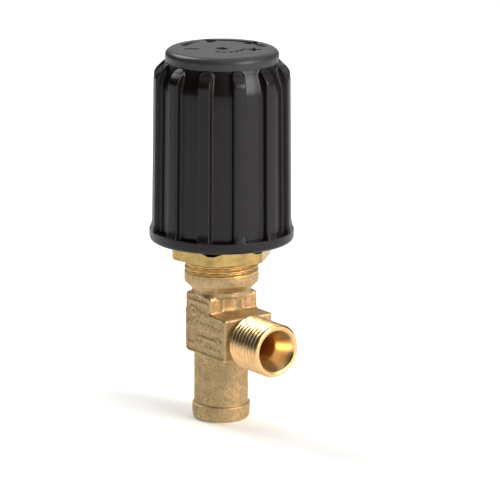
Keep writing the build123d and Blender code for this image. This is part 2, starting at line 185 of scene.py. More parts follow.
def soft_max(a, b, width):
    """The larger of two fields, with the corner between them rounded over about width."""
    h = np.clip(0.5 + 0.5 * (a - b) / width, 0, 1)
    return b + (a - b) * h + width * h * (1 - h)


def soft_min(a, b, width):
    """The smaller of two fields, with the corner between them rounded in the same way."""
    return -soft_max(-a, -b, width)


def smooth_step(value, start, end):
    """0 up to start, 1 from end on, and an S-shaped rise between them."""
    t = np.clip((value - start) / (end - start), 0, 1)
    return t * t * (3 - 2 * t)


# ------------------------------------------------------------------ solid from a distance field
def surface_net(field, low, high, step):
    """Closed quad mesh of the surface where field(points) is 0, with field negative inside."""
    axes = [np.arange(a, b + step, step) for a, b in zip(low, high)]
    shape = tuple(len(axis) for axis in axes)
    grid = np.stack(np.meshgrid(*axes, indexing="ij"), axis=-1)
    value = field(grid.reshape(-1, 3)).reshape(shape)
    inside = value < 0
    cells = tuple(n - 1 for n in shape)
    total = np.zeros(cells + (3,))
    hits = np.zeros(cells)
    corners = [(i, j, k) for i in (0, 1) for j in (0, 1) for k in (0, 1)]

    def corner(array, offset):
        i, j, k = offset
        return array[i : i + cells[0], j : j + cells[1], k : k + cells[2]]

    for first in corners:
        for axis in range(3):
            if first[axis]:
                continue
            second = tuple(1 if n == axis else first[n] for n in range(3))
            a, b = corner(value, first), corner(value, second)
            crossed = corner(inside, first) != corner(inside, second)
            share = np.where(crossed, a / np.where(crossed, a - b, 1), 0)
            point = np.broadcast_to(np.array(first, dtype=float), cells + (3,)).copy()
            point[..., axis] += share
            total += np.where(crossed[..., None], point, 0)
            hits += crossed
    used = hits > 0
    number = np.full(cells, -1)
    number[used] = np.arange(used.sum())
    where = np.argwhere(used)
    points = (where + total[used] / hits[used][:, None]) * step + np.array([a[0] for a in axes])
    quads = []
    for axis in range(3):
        u, v = [(1, 2), (2, 0), (0, 1)][axis]
        here = np.take(inside, range(shape[axis] - 1), axis=axis)
        there = np.take(inside, range(1, shape[axis]), axis=axis)
        for flip, crossing in ((False, here & ~there), (True, ~here & there)):
            at = np.argwhere(crossing)
            keep = (at[:, u] > 0) & (at[:, v] > 0) & (at[:, u] < cells[u]) & (at[:, v] < cells[v])
            at = at[keep]
            round_edge = []
            for du, dv in ((-1, -1), (0, -1), (0, 0), (-1, 0)):
                cell = at.copy()
                cell[:, u] += du
                cell[:, v] += dv
                round_edge.append(number[cell[:, 0], cell[:, 1], cell[:, 2]])
            if flip:
                round_edge.reverse()
            quads.append(np.stack(round_edge, axis=-1))
    return pull_to_surface(points, field, step), np.concatenate(quads)


def pull_to_surface(points, field, step):
    """Moves the points of a net onto the field's surface, three times by at most half a step."""
    reach = step * 0.05
    for _ in range(3):
        slope = np.stack(
            [
                (field(points + reach * unit) - field(points - reach * unit)) / (2 * reach)
                for unit in np.eye(3)
            ],
            axis=-1,
        )
        size = np.maximum((slope**2).sum(axis=-1), 1e-6)
        move = -field(points)[:, None] * slope / size[:, None]
        length = np.linalg.norm(move, axis=-1, keepdims=True)
        points = points + move * np.minimum(1, 0.5 * step / np.maximum(length, 1e-9))
    return points


def rounded_box(points, low, high, radius):
    """Distance to a box with rounded edges, in two or three dimensions."""
    low, high = np.array(low, dtype=float), np.array(high, dtype=float)
    q = np.abs(points - (low + high) / 2) - (high - low) / 2 + radius
    return np.linalg.norm(np.maximum(q, 0), axis=-1) + np.minimum(q.max(axis=-1), 0) - radius


def rounded_corner(a, b, radius):
    """The larger of two fields, with the outer corner between them rounded to a radius."""
    a, b = a + radius, b + radius
    return np.hypot(np.maximum(a, 0), np.maximum(b, 0)) + np.minimum(np.maximum(a, b), 0) - radius


def rounded_rod(points, radius, low, high, edge):
    """Distance to an upright round rod on the spindle axis, with rounded ends."""
    out = np.hypot(points[:, 0], points[:, 1]) - radius
    end = np.abs(points[:, 2] - (low + high) / 2) - (high - low) / 2
    return rounded_corner(out, end, edge)


def stroke_distance(x, y, start, end, width):
    """Distance in a plane to a straight stroke with round ends."""
    run_x, run_y = end[0] - start[0], end[1] - start[1]
    share = ((x - start[0]) * run_x + (y - start[1]) * run_y) / (run_x**2 + run_y**2)
    share = np.clip(share, 0, 1)
    return np.hypot(x - start[0] - share * run_x, y - start[1] - share * run_y) - width / 2


# ------------------------------------------------------------------ valve body
def panel_marks(x, z):
    """Generic raised forging marks: dashes, a date wheel, chevrons, bars, a bent flow arrow and dots."""
    thin, bold, dash_wide = 0.62, 0.75, 0.8
    dash_z, chevron_z, bars_z, dots_z = 36.3, 32.5, 29.2, 23.2
    wheel_x, wheel_z, wheel_r, rim_half, button_r = -2.4, 32.6, 1.9, 0.28, 0.9
    head_x, shaft_z, bend_x, foot_z = 11.2, 25.9, 0.6, 23.0
    strokes = []
    for at, half in ((-3.9, 0.5), (-1.9, 0.7), (0.4, 0.2), (2.2, 0.7), (4.1, 0.3)):
        strokes.append(((at - half, dash_z), (at + half, dash_z), dash_wide))
    for at in (1.4, 3.4):
        for rise in (1.1, -1.1):
            strokes.append(((at - 0.7, chevron_z + rise), (at + 0.5, chevron_z), thin))
    for n in range(9):
        at, lean, half = -4.8 + 1.95 * n, 0.35, 0.7
        strokes.append(((at - lean, bars_z - half), (at + lean, bars_z + half), thin))
    strokes.append(((head_x, shaft_z), (bend_x, shaft_z), bold))
    strokes.append(((bend_x, shaft_z), (bend_x, foot_z + 0.6), bold))
    for side in (-1, 1):
        strokes.append(((bend_x, foot_z), (bend_x + side * 1.4, foot_z + 1.3), bold))
        strokes.append(((head_x, shaft_z), (head_x - 1.3, shaft_z + side * 1.1), bold))
    from_wheel = np.hypot(x - wheel_x, z - wheel_z)
    mark = np.minimum(np.abs(from_wheel - wheel_r) - rim_half, from_wheel - button_r)
    for start, end, width in strokes:
        mark = np.minimum(mark, stroke_distance(x, z, start, end, width))
    for at in (-4.4, -2.6, 4.2, 6.2, 8.2, 10.2):
        mark = np.minimum(mark, np.hypot(x - at, z - dots_z) - 0.42)
    return mark


def forging_field(points):
    """Distance to the forged part: tail, block, cheeks, core and neck, with its bores."""
    x, y, z = points[:, 0], points[:, 1], points[:, 2]
    solid = rounded_box(
        points, (BLOCK_BACK, -BLOCK_HALF_Y, TAIL_TOP), (BOSS_X, BLOCK_HALF_Y, SHELF_Z), 0.85
    )
    for side in (-1, 1):
        near, far = sorted((side * VALLEY_HALF_Y, side * (BLOCK_HALF_Y + 0.8)))
        cheek = rounded_box(
            points, (BLOCK_BACK, near, TAIL_TOP + 1), (CHEEK_X, far, BLOCK_TOP), 1.3
        )
        cheek = soft_max(cheek, np.abs(y) - BLOCK_HALF_Y, 0.9)
        solid = soft_min(solid, cheek, 0.7)
    solid = soft_min(solid, rounded_rod(points, CORE_R, TAIL_TOP + 2, NECK_TOP, 0.2), 1.9)
    # sunk panels with raised marks on the two flat sides
    border, corner_r, panel_depth, mark_height = 0.9, 0.7, 0.26, 0.14
    flat = np.stack([x, z], axis=-1)
    panel_low = (BLOCK_BACK + border, TAIL_TOP + border)
    panel = np.minimum(
        rounded_box(flat, panel_low, (CHEEK_X - border, BLOCK_TOP - border), corner_r),
        rounded_box(flat, panel_low, (BOSS_X - border, SHELF_Z - border), corner_r),
    )
    floor_y = BLOCK_HALF_Y - panel_depth
    pocket = np.maximum(panel, floor_y - np.abs(y))
    solid = soft_max(solid, -pocket, 0.6)
    mark = soft_max(panel_marks(x, z), np.abs(y) - floor_y - mark_height, 0.3)
    mark = np.maximum(mark, BLOCK_HALF_Y - 2 - np.abs(y))
    solid = soft_min(solid, mark, 0.45)
    # round neck, tail and bead
    solid = soft_min(solid, rounded_rod(points, NECK_R, BLOCK_TOP - 0.5, BONNET_STEP, 0.25), 0.5)
    solid = soft_min(solid, rounded_rod(points, TAIL_R, 1, TAIL_TOP + 2, 0.2), 0.9)
    solid = np.minimum(solid, bead_field(points))
    # outlet bore, throat and chamber on the spindle axis, and the side port's bore
    throat_end, chamber_start = 18.45, 18.5
    bore_r = np.interp(
        z,
        [OUTLET_DEPTH, OUTLET_DEPTH + 0.9, throat_end, chamber_start, BONNET_STEP],
        [OUTLET_R, THROAT_R, THROAT_R, CHAMBER_R, CHAMBER_R],
    )
    solid = np.maximum(solid, bore_r - np.hypot(x, y))
    side_bore = PORT_BORE_R - np.hypot(y, z - PORT_Z)
    return np.maximum(solid, np.where(x > 0, side_bore, -1))


def bead_field(points):
    """The bead at the end of the tail: widest at its shoulder, well rounded at the end face."""
    z = points[:, 2]
    shoulder_z, taper, end_round = 2.8, 0.05, 1.25
    outline = BEAD_R - taper * np.maximum(0, shoulder_z - z)
    out = np.hypot(points[:, 0], points[:, 1]) - outline
    return soft_max(rounded_corner(out, -z, end_round), z - BEAD_TOP, 0.3)


def thread_cut(distance, angle, start):
    """Depth of a right-hand thread at a distance along its axis and an angle round it."""
    phase = np.abs(((distance - start) / PITCH - angle / (2 * math.pi)) % 1 - 0.5) * 2
    return THREAD_DEPTH * (1 - np.clip((phase - THREAD_ROOT) / (1 - THREAD_CREST - THREAD_ROOT), 0, 1))


def collar_shell():
    """Flange and threaded collar above the neck, right-hand M22 x 1.5, with its bonnet bore."""
    angles = np.linspace(0, 2 * math.pi, 160, endpoint=False)
    run_in, top_bevel = 0.55, 0.8
    z = column(evenly(THREAD_START - 0.1, BODY_TOP - 0.25, THREAD_ROWS))
    cut = thread_cut(z, angles, THREAD_START + 0.2)
    cut = cut * smooth_step(z, THREAD_START, THREAD_START + run_in)
    thread = np.minimum(COLLAR_R - cut, COLLAR_R - top_bevel + (BODY_TOP - z))
    foot = [
        (NECK_R - 0.15, NECK_TOP),
        (NECK_R, NECK_TOP),
        (COLLAR_R - 0.12, FLANGE_BOTTOM - 0.08),
        (COLLAR_R, FLANGE_BOTTOM + 0.1),
        (COLLAR_R, THREAD_START - 0.25),
    ]
    bore = [
        (BONNET_BORE_R + 1, BODY_TOP),
        (BONNET_BORE_R, BODY_TOP),
        (BONNET_BORE_R, BODY_TOP - 1),
        (BONNET_BORE_R, BONNET_STEP - 0.5),
    ]
    return turned_shell(angles, foot, (thread, z), bore)


def port_shell():
    """Side port: relief groove, right-hand M16 x 1.5 thread, end face, 60 degree cone and bore."""
    angles = np.linspace(0, 2 * math.pi, 144, endpoint=False)
    relief_end, run_in = BOSS_X + 1.0, 0.35
    x = column(evenly(relief_end, PORT_END - 0.25, THREAD_ROWS))
    cut = thread_cut(x, angles, relief_end)
    cut = np.maximum(cut, THREAD_DEPTH * (1 - smooth_step(x, relief_end, relief_end + run_in)))
    # the end is bevelled, and the last turn's groove closes just before it
    bevel_depth, bevel_slope = 0.42, 0.75
    bevel = PORT_R - bevel_depth + (PORT_END - x) * bevel_slope
    thread = soft_min(PORT_R - cut, bevel, 0.08)
    closing = smooth_step(x, PORT_END - 0.9, PORT_END - 0.45)
    thread = np.maximum(thread, (PORT_R - 0.46) * closing)
    cone_slope = math.tan(math.radians(30))
    cone_length = (CONE_MOUTH_R - PORT_BORE_R) / cone_slope
    cone_r = evenly(CONE_MOUTH_R - 0.3, PORT_BORE_R + 0.05, 0.4)
    cone_x = PORT_END - np.linspace(0.3 / cone_slope, cone_length, len(cone_r))
    root_r, bore_r = PORT_R - THREAD_DEPTH, PORT_BORE_R - 0.02
    relief = [(root_r, BOSS_X - 1), (root_r, relief_end - 0.1)]
    face = [
        (PORT_R - 0.55, PORT_END),
        (CONE_MOUTH_R + 0.12, PORT_END),
        (CONE_MOUTH_R - 0.05, PORT_END - 0.12),
    ]
    bore = [(bore_r, PORT_END - cone_length - 0.3), (bore_r, BOSS_X - 1)]
    blocks = relief, (thread, x), face, (column(cone_r), column(cone_x)), bore
    return turned_shell(angles, *blocks, along="X", base=PORT_Z)


# ------------------------------------------------------------------ materials
def new_material(name):
    """A new material with its node tree and its shader node."""
    material = bpy.data.materials.new(name)
    material.use_nodes = True
    tree = material.node_tree
    return material, tree, tree.nodes["Principled BSDF"]


def add_node(tree, kind, inputs=None, **settings):
    """A node with its settings, and its inputs linked to a socket or set to a value."""
    node = tree.nodes.new(kind)
    for key, value in settings.items():
        setattr(node, key, value)
    for key, value in (inputs or {}).items():
        socket = node.inputs[key]
        if isinstance(value, bpy.types.NodeSocket):
            tree.links.new(value, socket)
        else:
            socket.default_value = value
    return node


def millimetres(tree):
    """Object coordinates in millimetres, so that texture scales are per millimetre."""
    place = add_node(tree, "ShaderNodeTexCoord")
    return add_node(
        tree,
        "ShaderNodeVectorMath",
        {0: place.outputs["Object"], "Scale": 1 / MM},
        operation="SCALE",
    ).outputs[0]


def noise(tree, vector, scale, detail, rough=0.55):
    """Soft noise from 0 to 1; scale is its number of blobs in a millimetre."""
    inputs = {"Vector": vector, "Scale": scale, "Detail": detail, "Roughness": rough}
    return add_node(tree, "ShaderNodeTexNoise", inputs).outputs["Fac"]


def remap(tree, value, low, high, to_low, to_high):
    """The value carried from one range to another, and held at its ends."""
    return add_node(
        tree,
        "ShaderNodeMapRange",
        {"Value": value, "From Min": low, "From Max": high, "To Min": to_low, "To Max": to_high},
    ).outputs["Result"]


def calculate(tree, operation, a, b=0.0):
    """One arithmetic operation on values or sockets."""
    return add_node(tree, "ShaderNodeMath", {0: a, 1: b}, operation=operation).outputs[0]


def blend_colour(tree, factor, a, b):
    """Colour a where the factor is 0 and colour b where it is 1."""
    return add_node(tree, "ShaderNodeMix", {0: factor, 6: a, 7: b}, data_type="RGBA").outputs[2]


def bump(tree, height, distance_mm, normal=None):
    """Surface normal roughened by a height, on top of another bump's normal if one is given."""
    inputs = {"Height": height, "Distance": distance_mm * MM, "Strength": 1.0}
    if normal is not None:
        inputs["Normal"] = normal
    return add_node(tree, "ShaderNodeBump", inputs).outputs["Normal"]


def convex_edges(tree, low, high):
    """1 on outer edges and 0 elsewhere, from the mesh's own curvature."""
    geometry = add_node(tree, "ShaderNodeNewGeometry")
    return remap(tree, geometry.outputs["Pointiness"], low, high, 0.0, 1.0)


def forged_brass():
    """Hot forged, blasted brass: matt and grainy, with duller hollows and brighter rubbed edges."""
    material, tree, shader = new_material("forged_brass_skin")
    place = millimetres(tree)
    cloud = noise(tree, place, 0.35, 4.0)
    grain = noise(tree, place, 5.5, 4.0, 0.65)
    pits = noise(tree, place, 1.6, 5.0, 0.6)
    colour = blend_colour(
        tree, remap(tree, cloud, 0.35, 0.65, 0, 1), (0.63, 0.465, 0.24, 1), (0.80, 0.605, 0.335, 1)
    )
    colour = blend_colour(
        tree, remap(tree, pits, 0.35, 0.6, 0.55, 0.0), colour, (0.36, 0.24, 0.11, 1)
    )
    edges = convex_edges(tree, 0.51, 0.58)
    colour = blend_colour(
        tree, calculate(tree, "MULTIPLY", edges, 0.6), colour, (0.92, 0.76, 0.46, 1)
    )
    tree.links.new(colour, shader.inputs["Base Color"])
    rough = remap(tree, grain, 0.3, 0.7, 0.60, 0.46)
    rough = calculate(tree, "SUBTRACT", rough, calculate(tree, "MULTIPLY", edges, 0.12))
    tree.links.new(rough, shader.inputs["Roughness"])
    skin = bump(tree, pits, 0.15)
    skin = bump(tree, grain, 0.045, skin)
    tree.links.new(skin, shader.inputs["Normal"])
    shader.inputs["Metallic"].default_value = 1.0
    return material


def turned_brass(name, axis, base, rough, centre_z=0.0):
    """Machined brass with fine turning lines round an axis and a little tarnish."""
    material, tree, shader = new_material(name)
    place = millimetres(tree)
    parts = add_node(tree, "ShaderNodeSeparateXYZ", {0: place})
    if axis == "Z":
        along, a, b = parts.outputs[2], parts.outputs[0], parts.outputs[1]
    else:
        along, a = parts.outputs[0], parts.outputs[1]
        b = calculate(tree, "SUBTRACT", parts.outputs[2], centre_z)
    squares = [calculate(tree, "MULTIPLY", side, side) for side in (a, b)]
    radius = calculate(tree, "SQRT", calculate(tree, "ADD", *squares))
    line = calculate(tree, "ADD", along, radius)
    across = add_node(tree, "ShaderNodeCombineXYZ", {0: line}).outputs[0]
    lines = noise(tree, across, 9.0, 4.0, 0.7)
    cloud = noise(tree, place, 0.45, 4.0)
    tarnish = blend_colour(
        tree,
        remap(tree, cloud, 0.4, 0.7, 0.0, 0.45),
        base,
        (base[0] * 0.72, base[1] * 0.62, base[2] * 0.5, 1),
    )
    tree.links.new(tarnish, shader.inputs["Base Color"])
    tree.links.new(remap(tree, lines, 0.3, 0.7, rough[1], rough[0]), shader.inputs["Roughness"])
    tree.links.new(bump(tree, lines, 0.012), shader.inputs["Normal"])
    shader.inputs["Metallic"].default_value = 1.0
    return material


def hexagon_brass():
    """Bright drawn hexagon bar: lines along the bar, light scratches."""
    material, tree, shader = new_material("drawn_hexagon_brass")
    place = millimetres(tree)
    stretch = add_node(tree, "ShaderNodeMapping", {"Vector": place, "Scale": (6.0, 6.0, 0.25)})
    lines = noise(tree, stretch.outputs[0], 1.0, 4.0, 0.6)
    cloud = noise(tree, place, 0.3, 3.0)
    colour = blend_colour(
        tree, remap(tree, cloud, 0.35, 0.7, 0, 0.5), (0.60, 0.44, 0.172, 1), (0.28, 0.185, 0.062, 1)
    )
    tree.links.new(colour, shader.inputs["Base Color"])
    tree.links.new(remap(tree, lines, 0.3, 0.7, 0.26, 0.14), shader.inputs["Roughness"])
    tree.links.new(bump(tree, lines, 0.008), shader.inputs["Normal"])
    shader.inputs["Metallic"].default_value = 1.0
    return material


def knob_plastic(name, dark, light, rough):
    """Black moulded nylon: satin, with a fine spark-eroded grain and faint rubbed edges."""
    material, tree, shader = new_material(name)
    place = millimetres(tree)
    grain = noise(tree, place, 7.0, 3.0, 0.6)
    cloud = noise(tree, place, 0.25, 4.0)
    edges = convex_edges(tree, 0.52, 0.60)
    colour = blend_colour(tree, remap(tree, cloud, 0.3, 0.7, 0, 1), dark, light)
    colour = blend_colour(
        tree, calculate(tree, "MULTIPLY", edges, 0.35), colour, (0.030, 0.029, 0.028, 1)
    )
    tree.links.new(colour, shader.inputs["Base Color"])
    roughness = remap(tree, grain, 0.3, 0.7, rough + 0.05, rough - 0.05)
    tree.links.new(roughness, shader.inputs["Roughness"])
    tree.links.new(bump(tree, grain, 0.015), shader.inputs["Normal"])
    return material


def grained_material(name, colour, rough, metallic):
    """A plain surface with a fine grain: ground or plated metal, or rubber and PTFE if not metallic."""
    scale, shade, rougher, height = (4.0, 0.8, 0.08, 0.01) if metallic else (3.0, 0.75, 0.06, 0.02)
    material, tree, shader = new_material(name)
    grain = noise(tree, millimetres(tree), scale, 4.0, 0.6)
    light, dark = colour + (1,), tuple(c * shade for c in colour) + (1,)
    mixed = blend_colour(tree, remap(tree, grain, 0.3, 0.7, 0, 1), light, dark)
    tree.links.new(mixed, shader.inputs["Base Color"])
    roughness = remap(tree, grain, 0.3, 0.7, rough + rougher, rough - 0.06)
    tree.links.new(roughness, shader.inputs["Roughness"])
    tree.links.new(bump(tree, grain, height), shader.inputs["Normal"])
    shader.inputs["Metallic"].default_value = 1.0 if metallic else 0.0
    return material


FORGED = forged_brass()
PORT_BRASS = turned_brass("turned_port_brass", "X", (0.88, 0.66, 0.35, 1), (0.22, 0.34), PORT_Z)
COLLAR_BRASS = turned_brass("turned_collar_brass", "Z", (0.76, 0.57, 0.28, 1), (0.20, 0.32))
# A darker, redder copy of the turned brass for the port's bore: painted shade in the recess.
BORE_BRASS_PAINTED_SHADE = turned_brass("bore_brass_painted_shade", "X", (0.72, 0.35, 0.08, 1), (0.55, 0.70), PORT_Z)
INNER_BRASS = turned_brass("turned_inner_brass", "Z", (0.78, 0.56, 0.25, 1), (0.22, 0.36))
HEXAGON = hexagon_brass()
NYLON = knob_plastic(
    "moulded_black_nylon", (0.0070, 0.0044, 0.0036, 1), (0.0100, 0.0066, 0.0055, 1), 0.29
)
# The cap is the same black nylon as the shell. Its colours are lighter as painted light: the brightness of
# its top face under the light from above.
CAP_NYLON_PAINTED_LIGHT = knob_plastic("cap_nylon_painted_light", (0.042, 0.039, 0.039, 1), (0.058, 0.054, 0.054, 1), 0.34)
STAINLESS = grained_material("ground_stainless", (0.60, 0.60, 0.59), 0.24, metallic=True)
ZINC = grained_material("zinc_plate", (0.66, 0.67, 0.69), 0.30, metallic=True)
RUBBER = grained_material("nitrile_rubber", (0.02, 0.02, 0.02), 0.62, metallic=False)
PTFE = grained_material("white_ptfe", (0.82, 0.82, 0.80), 0.42, metallic=False)

FINISH = {
    "forged_brass": FORGED,
    "turned_brass": INNER_BRASS,
    "polished_brass": HEXAGON,
    "stainless": STAINLESS,
    "zinc_steel": ZINC,
    "black_rubber": RUBBER,
    "ptfe": PTFE,
    "knob_plastic": NYLON,
}
slot_of_node = {part["node"]: part["material_slot"] for part in frame["record"]["subparts"]}
for node, thing in frame["nodes"].items():
    for slot in thing.material_slots:
        slot.material = FINISH[slot_of_node[node]]


# ------------------------------------------------------------------ pieces: body and nut
def build_body():
    """The forging with its machined collar and side port, as three closed shells in one piece."""
    forged, collar, port, bore = range(4)
    margin, net_step = 0.6, 0.32
    shape = Shape()
    low = (-BEAD_R - margin, -BLOCK_HALF_Y - margin, -margin)
    high = (BOSS_X + margin, BLOCK_HALF_Y + margin, BONNET_STEP + margin)
    points, faces = surface_net(forging_field, low, high, net_step)
    points[:, 2] = np.maximum(points[:, 2], 0)  # the tail stands flat on its end ring
    middle = points[faces].mean(axis=1)
    in_bore = np.hypot(middle[:, 1], middle[:, 2] - PORT_Z) < PORT_BORE_R + 0.05
    in_bore &= middle[:, 0] > CHAMBER_R - 0.6
    shape.add(points, faces, slot=np.where(in_bore, bore, forged))
    points, faces = collar_shell()
    below_thread = points[faces].mean(axis=1)[:, 2] < THREAD_START - 0.1
    shape.add(points, faces, slot=np.where(below_thread, forged, collar))
    points, faces = port_shell()
    middle = points[faces].mean(axis=1)
    in_bore = np.hypot(middle[:, 1], middle[:, 2] - PORT_Z) < PORT_BORE_R + 0.02
    shape.add(points, faces, slot=np.where(in_bore, bore, port))
    # The last finish, on the bore's faces, is the darker brass of painted shade.
    finishes = [FORGED, COLLAR_BRASS, PORT_BRASS, BORE_BRASS_PAINTED_SHADE]
    body = shape.make("forged_valve_body", finishes, sharp_deg=40)
    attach(body, "root")
    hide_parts("valve_body")


def build_nut():
    """Low hexagon with turned-off corners and a crown chamfer, and a round skirt above it."""
    across_flats, corner_r, turn = 27.0, 15.05, math.radians(11.9)
    shoulder_z, hexagon_top, skirt_r, skirt_bevel = 52.5, 53.8, 13.1, 0.8
    bore_r, lip_r, lip_z = COLLAR_R + 0.06, 8.1, 59.03
    angles = np.linspace(0, 2 * math.pi, 720, endpoint=False)
    sixth = math.pi / 3
    from_flat = (angles - turn) % sixth - sixth / 2
    hexagon = soft_min(across_flats / 2 / np.cos(from_flat), corner_r, 0.06)
    bottom, top = nut_low[2], nut_high[2]
    heights = [
        bottom + np.array([0, 0.04, 0.12, 0.25, 0.45]),
        evenly(bottom + 1, shoulder_z - 0.3, 1.0),
        evenly(shoulder_z - 0.1, hexagon_top + 0.2, 0.08),
        evenly(hexagon_top + 1, top - skirt_bevel - 0.1, 2.0),
        [top - skirt_bevel],
    ]
    z = column(np.concatenate(heights))
    foot = corner_r - 0.22 + (z - bottom) * 2.0
    crown_slope = (corner_r - skirt_r) / (hexagon_top - shoulder_z)
    crown = skirt_r + np.maximum(hexagon_top - z, 0) * crown_slope
    outer = soft_min(soft_min(hexagon, foot, 0.08), crown, 0.05)
    inner = [
        (skirt_r - skirt_bevel, top),
        (lip_r, top),
        (lip_r, lip_z),
        (bore_r, lip_z),
        (bore_r, bottom),
    ]
    shape = Shape()
    shape.add(*turned_shell(angles, (outer, z), inner))
    nut = shape.make("hexagon_bonnet_nut", [HEXAGON], sharp_deg=15)
    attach(nut, "root")
    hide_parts("bonnet_nut")


# ------------------------------------------------------------------ pieces: knob
RIB_COUNT = 12
RIB_TURN = math.radians(9.0)
RIB_HALF = 1.85
RIB_EDGE = 0.62
RIB_DRAFT = math.radians(8)
RIB_FILLET = 0.95
RIB_AT_R = 19.9  # where a rib's section is measured
RIB_DEPTH = 2.05
RING_TOP = KNOB_BOTTOM + 3.2
SHELL_TOP = shell_high[2]
CAP_BOTTOM = 107.2
FOOT_ROUND = 1.15


def rib_section(depth):
    """Where the parts of a rib's section start: edge rounding, wall, fillet and pocket floor."""
    edge_start = RIB_HALF - RIB_EDGE
    wall_start = edge_start + RIB_EDGE * math.cos(RIB_DRAFT)
    wall_high = depth - RIB_EDGE * (1 - math.sin(RIB_DRAFT))
    wall_low = RIB_FILLET * (1 - math.sin(RIB_DRAFT))
    wall_end = wall_start + (wall_high - wall_low) * math.tan(RIB_DRAFT)
    floor_start = wall_end + RIB_FILLET * math.cos(RIB_DRAFT)
    return edge_start, wall_start, wall_high, wall_end, floor_start


def rib_columns():
    """Angles round the knob, close together at the ribs' edges, walls and fillets."""
    period = 2 * math.pi / RIB_COUNT
    edge_start, wall_start, _, wall_end, floor_start = rib_section(RIB_DEPTH)
    turn = np.linspace(0, math.pi / 2 - RIB_DRAFT, 7)
    half = np.concatenate(
        [
            [0, edge_start * 0.55],
            edge_start + RIB_EDGE * np.sin(turn),
            [(wall_start + wall_end) / 2],
            floor_start - RIB_FILLET * np.sin(turn[::-1]),
            np.linspace(floor_start + 0.25, RIB_AT_R * period / 2, 4)[:-1],
        ]
    )
    one_side = half / RIB_AT_R
    whole = np.concatenate([-one_side[:0:-1], one_side, [period / 2]])
    angles = np.concatenate([whole + RIB_TURN + n * period for n in range(RIB_COUNT)])
    from_rib = np.tile(np.abs(whole), RIB_COUNT) * RIB_AT_R
    return angles, from_rib


def rib_height(sideways, depth):
    """Height of a rib over its pocket's floor: flat crest, rounded edge, drafted wall, fillet."""
    edge_start, wall_start, wall_high, wall_end, floor_start = rib_section(depth)
    into_edge = np.clip(sideways - edge_start, 0, RIB_EDGE)
    crest = depth - RIB_EDGE + np.sqrt(RIB_EDGE**2 - into_edge**2)
    wall = wall_high - (sideways - wall_start) / math.tan(RIB_DRAFT)
    to_floor = np.clip(floor_start - sideways, 0, RIB_FILLET)
    fillet = RIB_FILLET - np.sqrt(RIB_FILLET**2 - to_floor**2)
    return np.where(sideways < wall_start, crest, np.where(sideways < wall_end, wall, fillet))


def knob_outside(z, from_rib):
    """Outer radius of the knob at heights z and distances from the nearest rib."""
    # pockets taper a little upwards and sink in at the shoulder, and ribs flare out to the foot ring
    share = (z - KNOB_BOTTOM) / (CAP_BOTTOM - KNOB_BOTTOM)
    floor_low, floor_drop = 18.9, 0.6
    shoulder_drop, shoulder_low, shoulder_high = 1.66, 100.2, 108.6
    pocket = floor_low - floor_drop * share
    crest = pocket + RIB_DEPTH
    pocket = pocket - shoulder_drop * smooth_step(z, shoulder_low, shoulder_high)
    flare = (KNOB_R - crest) * (1 - smooth_step(z, RING_TOP - 0.4, RING_TOP + 2.6))
    beyond_end = np.maximum(z - (SHELL_TOP - RIB_HALF), 0)
    sideways = np.hypot(from_rib, beyond_end)
    rib = pocket + rib_height(sideways, crest - pocket) + np.maximum(flare, 0) * (from_rib < RIB_HALF)
    # above slope_z the ribs' crests slope in to the cap
    slope_z, slope_r, slope_end_r = 104.9, 20.25, 16.8
    slope = slope_r - (z - slope_z) * (slope_r - slope_end_r) / (SHELL_TOP + 0.2 - slope_z)
    skin = soft_max(soft_min(rib, slope, 1.3), pocket, 0.4)
    # foot ring, with a steep upper edge and a rounded lower one
    ring_slope = 6.0
    ring = soft_min(KNOB_R, KNOB_R - (z - RING_TOP) * ring_slope, 0.5)
    skin = soft_max(skin, np.where(z > RING_TOP + 1.2, 0, ring), 0.55)
    into_foot = np.clip(KNOB_BOTTOM + FOOT_ROUND - z, 0, FOOT_ROUND)
    rounded = KNOB_R - FOOT_ROUND + np.sqrt(FOOT_ROUND**2 - into_foot**2)
    return np.minimum(np.minimum(skin, rounded), KNOB_R)


